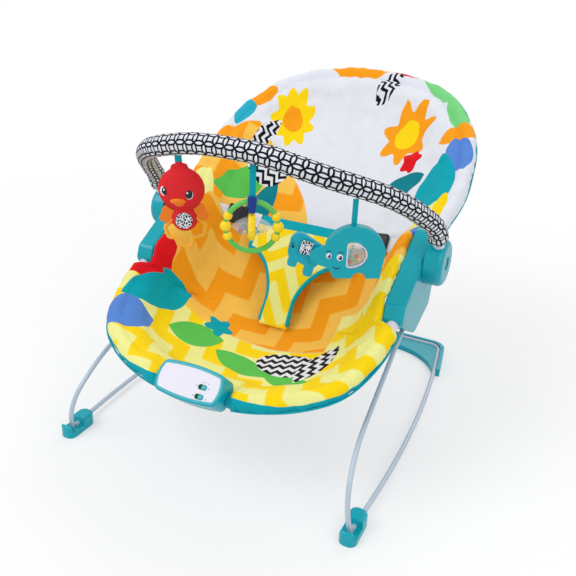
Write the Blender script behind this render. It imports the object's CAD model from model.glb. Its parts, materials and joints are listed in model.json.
"""Looks of the infant bouncer seat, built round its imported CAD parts.

Lengths are metres. The build frame has its origin on the floor midway between the
front wire bends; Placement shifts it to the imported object's own frame.
"""

from __future__ import annotations

import json
import logging
import math
from dataclasses import dataclass, field
from enum import Enum

import bmesh
import bpy
import numpy as np
from mathutils import Matrix, Vector, noise

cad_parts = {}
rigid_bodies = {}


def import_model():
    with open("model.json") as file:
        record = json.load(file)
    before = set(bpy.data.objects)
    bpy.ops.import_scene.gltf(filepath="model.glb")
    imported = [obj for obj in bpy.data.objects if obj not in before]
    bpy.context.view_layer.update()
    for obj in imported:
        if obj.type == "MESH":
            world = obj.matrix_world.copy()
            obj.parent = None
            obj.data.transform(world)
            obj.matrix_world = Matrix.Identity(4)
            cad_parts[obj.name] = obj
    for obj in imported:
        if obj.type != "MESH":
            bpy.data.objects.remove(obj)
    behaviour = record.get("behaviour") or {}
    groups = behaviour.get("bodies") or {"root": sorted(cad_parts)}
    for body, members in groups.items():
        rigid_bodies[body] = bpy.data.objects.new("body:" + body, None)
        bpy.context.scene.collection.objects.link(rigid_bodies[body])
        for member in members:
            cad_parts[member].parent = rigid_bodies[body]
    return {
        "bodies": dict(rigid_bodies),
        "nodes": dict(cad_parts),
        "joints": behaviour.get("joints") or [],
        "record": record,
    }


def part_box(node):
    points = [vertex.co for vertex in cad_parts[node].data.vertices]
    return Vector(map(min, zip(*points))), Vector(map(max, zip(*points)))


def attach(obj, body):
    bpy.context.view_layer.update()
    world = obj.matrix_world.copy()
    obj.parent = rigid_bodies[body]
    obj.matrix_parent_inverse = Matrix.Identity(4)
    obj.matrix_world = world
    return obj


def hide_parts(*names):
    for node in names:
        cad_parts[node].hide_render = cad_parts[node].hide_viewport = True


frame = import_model()

LOG = logging.getLogger("bouncer_seat")
MM = 0.001
Colour = tuple[float, float, float]
Point = tuple[float, float, float]


def paint(red: int, green: int, blue: int) -> Colour:
    """Turns a paint-chart colour of 0 to 255 into the linear values that shaders take.

    Args:
        red: Red part.
        green: Green part.
        blue: Blue part.

    Returns:
        The same colour in linear light.
    """
    parts = []
    for part in (red, green, blue):
        share = part / 255
        parts.append(share / 12.92 if share <= 0.04045 else ((share + 0.055) / 1.055) ** 2.4)
    return (parts[0], parts[1], parts[2])


class Paint(Enum):
    """The seat's colours."""

    TEAL = paint(0, 164, 180)
    DEEP_TEAL = paint(8, 128, 142)
    CYAN = paint(40, 174, 200)
    YELLOW = paint(252, 216, 14)
    CREAM = paint(240, 238, 148)
    ORANGE = paint(250, 160, 22)
    PALE_ORANGE = paint(251, 196, 84)
    AMBER = paint(250, 176, 40)
    TOY_TEAL = paint(6, 164, 184)
    RED = paint(226, 18, 30)
    GREEN = paint(92, 194, 84)
    MINT = paint(122, 214, 132)
    BLUE = paint(88, 136, 214)
    WHITE = paint(228, 231, 240)
    LINING = paint(206, 210, 218)
    BLACK = paint(16, 18, 26)
    NAVY = paint(14, 50, 140)
    WIRE = paint(186, 200, 214)
    PLATE = paint(226, 224, 238)


# ---------------------------------------------------------------- shader building
class Shade:
    """Lays nodes in one material or node group and links them."""

    def __init__(self, tree: bpy.types.NodeTree) -> None:
        """Starts on an empty or default tree."""
        self.tree = tree

    def node(self, kind: str, **values: object) -> bpy.types.Node:
        """Adds a node and sets its properties.

        Args:
            kind: Node type after the ShaderNode prefix.
            **values: Properties of the node.

        Returns:
            The new node.
        """
        made = self.tree.nodes.new("ShaderNode" + kind)
        for name, value in values.items():
            setattr(made, name, value)
        return made

    def feed(self, socket: bpy.types.NodeSocket, value: object) -> None:
        """Links a socket to another one, or sets it to a plain value."""
        if isinstance(value, bpy.types.NodeSocket):
            self.tree.links.new(value, socket)
        else:
            socket.default_value = value

    def math(self, operation: str, *values: object) -> bpy.types.NodeSocket:
        """Adds a Math node.

        Args:
            operation: The node's operation.
            *values: Its inputs, sockets or numbers.

        Returns:
            The result socket.
        """
        made = self.node("Math", operation=operation)
        for socket, value in zip(made.inputs, values):
            self.feed(socket, value)
        return made.outputs[0]

    def step(self, value: object, low: float, high: float) -> bpy.types.NodeSocket:
        """Adds a clamped Map Range from low and high to 0 and 1.

        Args:
            value: What is mapped.
            low: The value that gives 0.
            high: The value that gives 1.

        Returns:
            The result socket.
        """
        made = self.node("MapRange")
        self.feed(made.inputs["Value"], value)
        made.inputs["From Min"].default_value = low
        made.inputs["From Max"].default_value = high
        return made.outputs["Result"]

    def mix(self, share: object, under: object, over: object) -> bpy.types.NodeSocket:
        """Adds a colour Mix node.

        Args:
            share: Mask, 0 for under and 1 for over.
            under: Colour or socket.
            over: Colour or socket.

        Returns:
            The result socket.
        """
        made = self.node("Mix", data_type="RGBA")
        self.feed(made.inputs[0], share)
        for socket, value in ((made.inputs[6], under), (made.inputs[7], over)):
            self.feed(socket, value if isinstance(value, bpy.types.NodeSocket) else (*value, 1))
        return made.outputs[2]

    def object_point(self) -> bpy.types.NodeSocket:
        """Gives the Object coordinate socket."""
        return self.node("TexCoord").outputs["Object"]

    def group(self, name: str, **values: object) -> bpy.types.Node:
        """Places a node group and feeds its inputs.

        Args:
            name: Name of the node group.
            **values: Inputs by name, with _ for a space.

        Returns:
            The group node.
        """
        made = self.node("Group", node_tree=bpy.data.node_groups[name])
        for key, value in values.items():
            self.feed(made.inputs[key.replace("_", " ")], value)
        return made


@dataclass(frozen=True)
class EffectLibrary:
    """Builds the shader node groups that several materials share."""

    grain: str = "fabric_weave"
    mottle: str = "soft_mottle"
    leaf: str = "leaf_mask"
    flower: str = "flower_mask"
    chevron: str = "chevron_stripes"
    lattice: str = "ring_lattice"

    def start(self, name: str, inputs: dict[str, str], outputs: dict[str, str]) -> tuple[Shade, bpy.types.Node, bpy.types.Node]:
        """Makes an empty node group with named sockets.

        Args:
            name: Name of the group.
            inputs: Socket type by input name.
            outputs: Socket type by output name.

        Returns:
            The shade, and the group's input and output nodes.
        """
        tree = bpy.data.node_groups.new(name, "ShaderNodeTree")
        for key, kind in inputs.items():
            tree.interface.new_socket(name=key, in_out="INPUT", socket_type="NodeSocket" + kind)
        for key, kind in outputs.items():
            tree.interface.new_socket(name=key, in_out="OUTPUT", socket_type="NodeSocket" + kind)
        return Shade(tree), tree.nodes.new("NodeGroupInput"), tree.nodes.new("NodeGroupOutput")

    def build(self) -> None:
        """Makes every group once."""
        self.build_weave()
        self.build_mottle()
        self.build_leaf()
        self.build_flower()
        self.build_chevron()
        self.build_lattice()

    def build_weave(self) -> None:
        """Threads crossing at right angles, as a height."""
        shade, given, result = self.start(
            self.grain, {"Vector": "Vector", "Scale": "Float"}, {"Height": "Float"}
        )
        bands = []
        for direction in ("X", "Y", "Z"):
            wave = shade.node("TexWave", bands_direction=direction)
            shade.feed(wave.inputs["Vector"], given.outputs["Vector"])
            shade.feed(wave.inputs["Scale"], given.outputs["Scale"])
            wave.inputs["Distortion"].default_value = 0.6
            wave.inputs["Detail Scale"].default_value = 2.0
            bands.append(wave.outputs["Fac"])
        cross = shade.math("ADD", bands[0], bands[1])
        shade.feed(result.inputs["Height"], shade.math("MULTIPLY", shade.math("ADD", cross, bands[2]), 0.333))

    def build_mottle(self) -> None:
        """Soft uneven tone of a moulded or dyed surface, about 1."""
        shade, given, result = self.start(
            self.mottle,
            {"Vector": "Vector", "Scale": "Float", "Amount": "Float"},
            {"Tone": "Float", "Value": "Float"},
        )
        cloud = shade.node("TexNoise")
        shade.feed(cloud.inputs["Vector"], given.outputs["Vector"])
        shade.feed(cloud.inputs["Scale"], given.outputs["Scale"])
        cloud.inputs["Detail"].default_value = 4.0
        centred = shade.math("SUBTRACT", cloud.outputs["Fac"], 0.5)
        shade.feed(result.inputs["Value"], cloud.outputs["Fac"])
        tone = shade.math("MULTIPLY_ADD", centred, given.outputs["Amount"], 1.0)
        shade.feed(result.inputs["Tone"], tone)

    def local_point(self, shade: Shade, given: bpy.types.Node) -> tuple[bpy.types.NodeSocket, bpy.types.NodeSocket]:
        """Turns a group's Vector into a motif's own two axes, 1 at its edge.

        Args:
            shade: The group's shade.
            given: The group's input node, with Centre, Size and Turn.

        Returns:
            The coordinates along and across the motif.
        """
        away = shade.node("VectorMath", operation="SUBTRACT")
        shade.feed(away.inputs[0], given.outputs["Vector"])
        shade.feed(away.inputs[1], given.outputs["Centre"])
        flat = shade.node("VectorMath", operation="MULTIPLY")
        shade.feed(flat.inputs[0], away.outputs[0])
        flat.inputs[1].default_value = (1, 1, 0)
        turned = shade.node("VectorRotate", rotation_type="Z_AXIS", invert=True)
        shade.feed(turned.inputs["Vector"], flat.outputs[0])
        shade.feed(turned.inputs["Angle"], given.outputs["Turn"])
        shaped = shade.node("VectorMath", operation="DIVIDE")
        shade.feed(shaped.inputs[0], turned.outputs[0])
        shade.feed(shaped.inputs[1], given.outputs["Size"])
        parts = shade.node("SeparateXYZ")
        shade.feed(parts.inputs[0], shaped.outputs[0])
        return parts.outputs[0], parts.outputs[1]

    def build_leaf(self) -> None:
        """A leaf: two bows that meet in points."""
        shade, given, result = self.start(
            self.leaf,
            {"Vector": "Vector", "Centre": "Vector", "Size": "Vector", "Turn": "Float"},
            {"Mask": "Float"},
        )
        along, across = self.local_point(shade, given)
        reach = shade.math("ADD", shade.math("POWER", shade.math("ABSOLUTE", along), 2.4), shade.math("ABSOLUTE", across))
        shade.feed(result.inputs["Mask"], shade.step(reach, 1.012, 0.988))

    def build_flower(self) -> None:
        """A round motif with a wavy edge: Petals waves that are Depth deep."""
        shade, given, result = self.start(
            self.flower,
            {
                "Vector": "Vector",
                "Centre": "Vector",
                "Size": "Vector",
                "Turn": "Float",
                "Petals": "Float",
                "Depth": "Float",
            },
            {"Mask": "Float"},
        )
        along, across = self.local_point(shade, given)
        angle = shade.math("ARCTAN2", across, along)
        wave = shade.math("COSINE", shade.math("MULTIPLY", angle, given.outputs["Petals"]))
        square = shade.math("ADD", shade.math("POWER", shade.math("ABSOLUTE", along), 2.0), shade.math("POWER", shade.math("ABSOLUTE", across), 2.0))
        reach = shade.math("SUBTRACT", shade.math("SQRT", square), shade.math("MULTIPLY", wave, given.outputs["Depth"]))
        shade.feed(result.inputs["Mask"], shade.step(reach, 1.012, 0.988))

    def build_chevron(self) -> None:
        """Zigzag stripes across the second axis."""
        shade, given, result = self.start(
            self.chevron,
            {"Vector": "Vector", "Period": "Float", "Rise": "Float", "Stripe": "Float", "Turn": "Float"},
            {"Mask": "Float"},
        )
        turned = shade.node("VectorRotate", rotation_type="Z_AXIS")
        shade.feed(turned.inputs["Vector"], given.outputs["Vector"])
        shade.feed(turned.inputs["Angle"], given.outputs["Turn"])
        parts = shade.node("SeparateXYZ")
        shade.feed(parts.inputs[0], turned.outputs[0])
        zigzag = shade.math("PINGPONG", parts.outputs[0], given.outputs["Period"])
        lifted = shade.math("MULTIPLY_ADD", zigzag, given.outputs["Rise"], parts.outputs[1])
        band = shade.math("PINGPONG", lifted, given.outputs["Stripe"])
        share = shade.math("DIVIDE", band, given.outputs["Stripe"])
        shade.feed(result.inputs["Mask"], shade.step(share, 0.47, 0.53))

    def build_lattice(self) -> None:
        """Rings on a square lattice, as a line mask."""
        shade, given, result = self.start(
            self.lattice,
            {"Vector": "Vector", "Offset": "Vector", "Cell": "Float", "Radius": "Float", "Line": "Float"},
            {"Mask": "Float"},
        )
        moved = shade.node("VectorMath", operation="ADD")
        shade.feed(moved.inputs[0], given.outputs["Vector"])
        shade.feed(moved.inputs[1], given.outputs["Offset"])
        parts = shade.node("SeparateXYZ")
        shade.feed(parts.inputs[0], moved.outputs[0])
        squares = []
        for side in parts.outputs[:2]:
            half = shade.math("DIVIDE", given.outputs["Cell"], 2.0)
            cell = shade.math("SUBTRACT", shade.math("FLOORED_MODULO", side, given.outputs["Cell"]), half)
            squares.append(shade.math("MULTIPLY", cell, cell))
        reach = shade.math("SQRT", shade.math("ADD", squares[0], squares[1]))
        off = shade.math("ABSOLUTE", shade.math("SUBTRACT", reach, given.outputs["Radius"]))
        share = shade.math("DIVIDE", off, given.outputs["Line"])
        shade.feed(result.inputs["Mask"], shade.step(share, 1.15, 0.85))


EFFECTS = EffectLibrary()


CLOTH_SHINE = 0.12
PLASTIC_SHINE = 0.3


@dataclass(frozen=True)
class Finish:
    """A plain finish: one colour with grain, uneven tone and a fine surface."""

    name: str
    colour: Paint
    roughness: float = 0.4
    metallic: float = 0.0
    coat: float = 0.0
    grain_scale: float = 900.0
    grain_height: float = 0.00003
    tone: float = 0.12
    woven: bool = False
    sheen: float = 0.0

    def base(self, shade: Shade, point: bpy.types.NodeSocket) -> bpy.types.NodeSocket:
        """Gives the surface colour before its uneven tone.

        Args:
            shade: The material's shade.
            point: Object coordinates.

        Returns:
            A colour socket.
        """
        made = shade.node("RGB")
        made.outputs[0].default_value = (*self.colour.value, 1)
        return made.outputs[0]

    def relief(self, shade: Shade, point: bpy.types.NodeSocket) -> bpy.types.NodeSocket:
        """Gives the surface relief as a height in metres.

        Args:
            shade: The material's shade.
            point: Object coordinates.

        Returns:
            A height socket.
        """
        if self.woven:
            weave = shade.group(EFFECTS.grain, Vector=point, Scale=self.grain_scale)
            return shade.math("MULTIPLY", weave.outputs["Height"], self.grain_height)
        cloud = shade.group(EFFECTS.mottle, Vector=point, Scale=self.grain_scale, Amount=1.0)
        return shade.math("MULTIPLY", cloud.outputs["Value"], self.grain_height)

    def build(self) -> bpy.types.Material:
        """Makes the material once and returns it.

        Returns:
            The material of this finish.
        """
        found = bpy.data.materials.get(self.name)
        if found is not None:
            return found
        material = bpy.data.materials.new(self.name)
        material.use_nodes = True
        shade = Shade(material.node_tree)
        surface = material.node_tree.nodes["Principled BSDF"]
        point = shade.object_point()
        cloud = shade.group(EFFECTS.mottle, Vector=point, Scale=38.0, Amount=self.tone)
        tinted = shade.node("VectorMath", operation="SCALE")
        shade.feed(tinted.inputs[0], self.base(shade, point))
        shade.feed(tinted.inputs["Scale"], cloud.outputs["Tone"])
        shade.feed(surface.inputs["Base Color"], tinted.outputs[0])
        worn = shade.group(EFFECTS.mottle, Vector=point, Scale=150.0, Amount=0.35)
        shade.feed(surface.inputs["Roughness"], shade.math("MULTIPLY", worn.outputs["Tone"], self.roughness))
        surface.inputs["Metallic"].default_value = self.metallic
        surface.inputs["Coat Weight"].default_value = self.coat
        surface.inputs["Coat Roughness"].default_value = 0.12
        surface.inputs["Specular IOR Level"].default_value = CLOTH_SHINE if self.woven else PLASTIC_SHINE
        surface.inputs["Sheen Weight"].default_value = self.sheen
        surface.inputs["Sheen Roughness"].default_value = 0.5
        bump = shade.node("Bump")
        bump.inputs["Distance"].default_value = 1.0
        shade.feed(bump.inputs["Height"], self.relief(shade, point))
        shade.feed(surface.inputs["Normal"], bump.outputs["Normal"])
        self.extra(shade, surface, point)
        return material

    def extra(self, shade: Shade, surface: bpy.types.Node, point: bpy.types.NodeSocket) -> None:
        """Room for what one kind of finish adds to its shader."""


@dataclass(frozen=True)
class ClearFinish(Finish):
    """Clear moulded plastic."""

    def extra(self, shade: Shade, surface: bpy.types.Node, point: bpy.types.NodeSocket) -> None:
        """Lets light through and keeps faint scuffs in the gloss."""
        surface.inputs["Alpha"].default_value = 0.14
        surface.inputs["Specular IOR Level"].default_value = 0.9


class Motif(Enum):
    """Shapes that the cover's print is made of."""

    LEAF = "leaf"
    FLOWER = "flower"


@dataclass(frozen=True)
class PrintSpot:
    """One coloured motif of the cover's print, in the build frame's plan."""

    motif: Motif
    colour: Paint
    x: float
    y: float
    long: float
    wide: float
    turn: float = 0.0
    petals: float = 0.0
    depth: float = 0.0
    second: Paint | None = None
    stripe: float = 0.006

    def mask(self, shade: Shade, plan: bpy.types.NodeSocket) -> bpy.types.NodeSocket:
        """Gives this motif's mask.

        Args:
            shade: The material's shade.
            plan: Plan coordinates in the build frame.

        Returns:
            A mask socket.
        """
        values = {
            "Vector": plan,
            "Centre": (self.x, self.y, 0),
            "Size": (self.long, self.wide, 1),
            "Turn": math.radians(self.turn),
        }
        if self.motif is Motif.LEAF:
            return shade.group(EFFECTS.leaf, **values).outputs["Mask"]
        return shade.group(EFFECTS.flower, Petals=self.petals, Depth=self.depth, **values).outputs["Mask"]

    def fill(self, shade: Shade, plan: bpy.types.NodeSocket) -> object:
        """Gives this motif's colour, striped when it has a second one.

        Args:
            shade: The material's shade.
            plan: Plan coordinates in the build frame.

        Returns:
            A colour or a colour socket.
        """
        if self.second is None:
            return self.colour.value
        zigzag = shade.group(EFFECTS.chevron, Vector=plan, Period=0.008, Rise=1.0, Stripe=self.stripe, Turn=math.radians(self.turn))
        return shade.mix(zigzag.outputs["Mask"], self.colour.value, self.second.value)


COVER_PRINT = (
    PrintSpot(Motif.LEAF, Paint.GREEN, -0.150, 0.372, 0.055, 0.020, 52),
    PrintSpot(Motif.LEAF, Paint.DEEP_TEAL, -0.108, 0.356, 0.052, 0.018, 78),
    PrintSpot(Motif.LEAF, Paint.CREAM, -0.196, 0.300, 0.050, 0.022, 96),
    PrintSpot(Motif.FLOWER, Paint.BLACK, -0.122, 0.420, 0.040, 0.030, 20, 0, 0, Paint.WHITE),
    PrintSpot(Motif.LEAF, Paint.RED, -0.186, 0.160, 0.040, 0.020, 58),
    PrintSpot(Motif.LEAF, Paint.TEAL, -0.1635, 0.138, 0.058, 0.020, 57),
    PrintSpot(Motif.LEAF, Paint.BLUE, -0.169, 0.070, 0.038, 0.029, 45),
    PrintSpot(Motif.LEAF, Paint.GREEN, -0.090, 0.132, 0.042, 0.024, 24),
    PrintSpot(Motif.FLOWER, Paint.TEAL, -0.074, 0.171, 0.020, 0.016, 0, 5, 0.22),
    PrintSpot(Motif.LEAF, Paint.GREEN, 0.002, 0.108, 0.056, 0.020, -18),
    PrintSpot(Motif.LEAF, Paint.GREEN, 0.084, 0.086, 0.048, 0.016, -20),
    PrintSpot(Motif.FLOWER, Paint.BLACK, 0.064, 0.128, 0.050, 0.030, -12, 0, 0, Paint.WHITE, 0.008),
    PrintSpot(Motif.LEAF, Paint.BLACK, 0.110, 0.130, 0.048, 0.020, 72, 0, 0, Paint.WHITE, 0.008),
    PrintSpot(Motif.LEAF, Paint.CYAN, -0.202, 0.472, 0.030, 0.016, 78),
    PrintSpot(Motif.LEAF, Paint.ORANGE, -0.184, 0.512, 0.026, 0.017, 48),
    PrintSpot(Motif.FLOWER, Paint.YELLOW, -0.118, 0.500, 0.036, 0.036, 0, 9, 0.16),
    PrintSpot(Motif.FLOWER, Paint.ORANGE, -0.118, 0.500, 0.018, 0.018, 0),
    PrintSpot(Motif.LEAF, Paint.BLACK, -0.150, 0.455, 0.040, 0.012, 70, 0, 0, Paint.WHITE),
    PrintSpot(Motif.LEAF, Paint.ORANGE, -0.034, 0.600, 0.064, 0.020, 2),
    PrintSpot(Motif.LEAF, Paint.RED, 0.064, 0.604, 0.040, 0.013, -6),
    PrintSpot(Motif.LEAF, Paint.BLACK, 0.038, 0.572, 0.030, 0.018, 60, 0, 0, Paint.WHITE),
    PrintSpot(Motif.FLOWER, Paint.ORANGE, 0.098, 0.506, 0.038, 0.038, 12, 7, 0.20),
    PrintSpot(Motif.FLOWER, Paint.YELLOW, 0.098, 0.506, 0.020, 0.020, 0),
    PrintSpot(Motif.FLOWER, Paint.RED, 0.122, 0.462, 0.015, 0.015, 0, 5, 0.18),
    PrintSpot(Motif.LEAF, Paint.MINT, 0.128, 0.576, 0.050, 0.015, -36),
    PrintSpot(Motif.LEAF, Paint.MINT, 0.176, 0.530, 0.052, 0.017, -62),
    PrintSpot(Motif.LEAF, Paint.ORANGE, 0.194, 0.484, 0.034, 0.018, 20),
    PrintSpot(Motif.LEAF, Paint.BLUE, 0.204, 0.446, 0.036, 0.021, -64),
    PrintSpot(Motif.LEAF, Paint.TEAL, 0.182, 0.394, 0.054, 0.030, 94),
    PrintSpot(Motif.LEAF, Paint.DEEP_TEAL, 0.122, 0.424, 0.034, 0.018, 14),
    PrintSpot(Motif.LEAF, Paint.CREAM, 0.186, 0.336, 0.030, 0.016, 60),
    PrintSpot(Motif.LEAF, Paint.BLUE, 0.196, 0.304, 0.030, 0.018, 70),
    PrintSpot(Motif.LEAF, Paint.YELLOW, 0.204, 0.346, 0.030, 0.010, 84),
)


@dataclass(frozen=True)
class PrintFinish(Finish):
    """The printed cover: coloured grounds, motifs on them, and a plain binding."""

    shift: float = 0.0

    def base(self, shade: Shade, point: bpy.types.NodeSocket) -> bpy.types.NodeSocket:
        """Lays the print from its grounds to its motifs and binding."""
        moved = shade.node("VectorMath", operation="ADD")
        shade.feed(moved.inputs[0], point)
        moved.inputs[1].default_value = (0, -self.shift, 0)
        plan = moved.outputs[0]
        parts = shade.node("SeparateXYZ")
        shade.feed(parts.inputs[0], plan)
        across, along = parts.outputs[0], parts.outputs[1]
        gingham = shade.group(EFFECTS.chevron, Vector=plan, Period=0.032, Rise=0.75, Stripe=0.027, Turn=0.6)
        yellow = shade.mix(gingham.outputs["Mask"], Paint.CREAM.value, Paint.YELLOW.value)
        checks = shade.group(EFFECTS.chevron, Vector=plan, Period=0.030, Rise=0.9, Stripe=0.034, Turn=-0.9)
        orange = shade.mix(checks.outputs["Mask"], Paint.PALE_ORANGE.value, Paint.ORANGE.value)
        left = shade.group(EFFECTS.leaf, Vector=plan, Centre=(-0.150, 0.290, 0), Size=(0.175, 0.150, 1), Turn=math.radians(-84))
        right = shade.group(EFFECTS.leaf, Vector=plan, Centre=(0.190, 0.262, 0), Size=(0.062, 0.045, 1), Turn=math.radians(-70))
        sides = shade.math("MAXIMUM", left.outputs["Mask"], right.outputs["Mask"])
        bow = shade.math("MULTIPLY", shade.math("MULTIPLY", across, across), 2.6)
        line = shade.math("SUBTRACT", along, bow)
        front = shade.step(line, 0.232, 0.230)
        flank = shade.math("MULTIPLY", shade.step(across, 0.104, 0.106), shade.step(along, 0.236, 0.234))
        colour = shade.mix(sides, Paint.WHITE.value, orange)
        low = shade.math("MAXIMUM", shade.math("MULTIPLY", front, shade.step(along, 0.168, 0.165)), flank)
        colour = shade.mix(low, colour, yellow)
        middle = shade.math(
            "MULTIPLY", shade.step(along, 0.330, 0.327), shade.math("SUBTRACT", 1.0, low)
        )
        inner = shade.math("MULTIPLY", middle, shade.step(across, 0.150, 0.147))
        colour = shade.mix(inner, colour, orange)
        for spot in COVER_PRINT:
            colour = shade.mix(spot.mask(shade, plan), colour, spot.fill(shade, plan))
        wrap = shade.node("Attribute", attribute_name="wrap").outputs["Fac"]
        edge = shade.math("ADD", wrap, shade.math("MULTIPLY", shade.step(along, 0.16, 0.02), 0.14))
        beside = shade.step(shade.math("ABSOLUTE", across), 0.125, 0.060)
        edge = shade.math("ADD", edge, shade.math("MULTIPLY", shade.math("MULTIPLY", beside, shade.step(along, 0.05, 0.02)), 0.13))
        colour = shade.mix(shade.step(edge, 0.545, 0.552), colour, Paint.TEAL.value)
        return shade.mix(shade.step(wrap, 1.0, 1.01), colour, Paint.LINING.value)

    def relief(self, shade: Shade, point: bpy.types.NodeSocket) -> bpy.types.NodeSocket:
        """Adds fine creases to the weave."""
        woven = Finish.relief(self, shade, point)
        crease = shade.node("TexNoise", noise_type="RIDGED_MULTIFRACTAL", normalize=True)
        shade.feed(crease.inputs["Vector"], point)
        crease.inputs["Scale"].default_value = 26.0
        crease.inputs["Detail"].default_value = 3.0
        return shade.math("MULTIPLY_ADD", crease.outputs["Fac"], 0.0011, woven)


@dataclass(frozen=True)
class PanelFinish(Finish):
    """The crotch panel: zigzag stripes under a plain top band."""

    band_height: float = 0.0

    def base(self, shade: Shade, point: bpy.types.NodeSocket) -> bpy.types.NodeSocket:
        """Lays the stripes and the band."""
        parts = shade.node("SeparateXYZ")
        shade.feed(parts.inputs[0], point)
        flat = shade.node("CombineXYZ")
        shade.feed(flat.inputs[0], parts.outputs[0])
        shade.feed(flat.inputs[1], shade.math("MULTIPLY", parts.outputs[2], 1.3))
        zigzag = shade.group(
            EFFECTS.chevron, Vector=flat.outputs[0], Period=0.040, Rise=1.0, Stripe=0.024, Turn=0.25
        )
        colour = shade.mix(zigzag.outputs["Mask"], Paint.CREAM.value, Paint.YELLOW.value)
        return shade.mix(shade.step(parts.outputs[2], self.band_height, self.band_height + 0.0006), colour, Paint.TEAL.value)


@dataclass(frozen=True)
class SleeveFinish(Finish):
    """White knit printed with interlocking rings, laid out along the bar."""

    cell: float = 0.0283

    def base(self, shade: Shade, point: bpy.types.NodeSocket) -> bpy.types.NodeSocket:
        """Draws four ring lattices, each half a cell from the next."""
        lay = shade.node("UVMap", uv_map="around").outputs["UV"]
        mask = None
        for across in (0.0, 0.5):
            for along in (0.0, 0.5):
                rings = shade.group(
                    EFFECTS.lattice,
                    Vector=lay,
                    Offset=(across * self.cell, along * self.cell, 0),
                    Cell=self.cell,
                    Radius=self.cell * 0.36,
                    Line=0.00125,
                ).outputs["Mask"]
                mask = rings if mask is None else shade.math("MAXIMUM", mask, rings)
        return shade.mix(mask, Paint.WHITE.value, Paint.BLACK.value)


@dataclass(frozen=True)
class SpeckleFinish(Finish):
    """A printed patch of small dark spots on white."""

    density: float = 260.0

    def base(self, shade: Shade, point: bpy.types.NodeSocket) -> bpy.types.NodeSocket:
        """Spots from cells, uneven in size."""
        cells = shade.node("TexVoronoi", feature="DISTANCE_TO_EDGE")
        shade.feed(cells.inputs["Vector"], point)
        cells.inputs["Scale"].default_value = self.density
        return shade.mix(shade.step(cells.outputs["Distance"], 0.10, 0.14), Paint.WHITE.value, Paint.BLACK.value)


@dataclass(frozen=True)
class Palette:
    """Every finish of the seat."""

    wire: Finish = Finish("wire_powder_coat", Paint.WIRE, 0.34, 0.1, 0.35, 1200, 0.000003, 0.04)
    tube: Finish = Finish("tube_paint", Paint.PLATE, 0.42, 0.1, 0.0, 1400, 0.00001)
    teal: Finish = Finish("teal_moulding", Paint.TEAL, 0.24, 0.0, 0.15, 900, 0.000002, 0.05)
    teal_toy: Finish = Finish("teal_toy_moulding", Paint.TEAL, 0.33, 0.0, 0.08, 900, 0.000002, 0.05)
    young_toy: Finish = Finish("light_teal_moulding", Paint.TOY_TEAL, 0.33, 0.0, 0.08, 900, 0.000002, 0.05)
    plate: Finish = Finish("pale_face_plate", Paint.PLATE, 0.4, 0.0, 0.1, 900, 0.000003, 0.03)
    steel: Finish = Finish("zinc_plated", Paint.LINING, 0.35, 0.9, 0.0, 900, 0.00002)
    brass: Finish = Finish("turned_brass", Paint.PALE_ORANGE, 0.3, 1.0, 0.0, 900, 0.00001)
    board: Finish = Finish("solder_mask", Paint.GREEN, 0.4)
    buckle: Finish = Finish("black_moulding", Paint.BLACK, 0.42, 0.0, 0.1, 1500, 0.00002)
    webbing: Finish = Finish("ribbed_webbing", Paint.WHITE, 0.8, grain_scale=210, grain_height=0.0003, woven=True, sheen=0.05)
    ribbon: Finish = Finish("teal_ribbon", Paint.TEAL, 0.6, grain_scale=420, grain_height=0.0002, woven=True, sheen=0.1)
    trim: Finish = Finish("teal_binding", Paint.TEAL, 0.75, grain_scale=330, grain_height=0.0002, woven=True, sheen=0.06)
    red: Finish = Finish("red_vinyl", Paint.RED, 0.16, 0.0, 0.5, 500, 0.000004, 0.05)
    orange: Finish = Finish("orange_vinyl", Paint.AMBER, 0.4, 0.0, 0.15, 700, 0.000006, 0.06)
    amber: Finish = Finish("amber_moulding", Paint.AMBER, 0.3, 0.0, 0.25, 900, 0.000002, 0.05)
    yellow: Finish = Finish("yellow_moulding", Paint.YELLOW, 0.32, 0.0, 0.25, 900, 0.000002, 0.05)
    green: Finish = Finish("green_moulding", Paint.GREEN, 0.32, 0.0, 0.25, 900, 0.000002, 0.05)
    navy: Finish = Finish("navy_moulding", Paint.NAVY, 0.35, 0.0, 0.15)
    white: Finish = Finish("white_gloss", Paint.WHITE, 0.25, 0.0, 0.4)
    black: Finish = Finish("black_gloss", Paint.BLACK, 0.2, 0.0, 0.4)
    clear: Finish = ClearFinish("clear_moulding", Paint.WHITE, 0.06, tone=0.02, grain_height=0.0)
    sleeve: Finish = SleeveFinish("ring_print_knit", Paint.WHITE, 0.85, grain_scale=420, grain_height=0.00025, woven=True, sheen=0.06)
    speckle: Finish = SpeckleFinish("speckled_patch", Paint.WHITE, 0.5)


PALETTE = Palette()


# ---------------------------------------------------------------- mesh helpers
def new_piece(name: str, mesh: bmesh.types.BMesh, finish: Finish, body: str, smooth: bool = True) -> bpy.types.Object:
    """Turns a bmesh into an object that rides on a CAD body.

    Args:
        name: Piece name.
        mesh: The bmesh, which is freed.
        finish: Its finish.
        body: CAD body that it rides on.
        smooth: Whether its faces shade smoothly.

    Returns:
        The new object.
    """
    data = bpy.data.meshes.new(name)
    mesh.to_mesh(data)
    mesh.free()
    for face in data.polygons:
        face.use_smooth = smooth
    made = bpy.data.objects.new(name, data)
    bpy.context.scene.collection.objects.link(made)
    made.data.materials.append(finish.build())
    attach(made, body)
    LOG.info("made %s on %s with %d faces", name, body, len(data.polygons))
    return made


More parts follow.
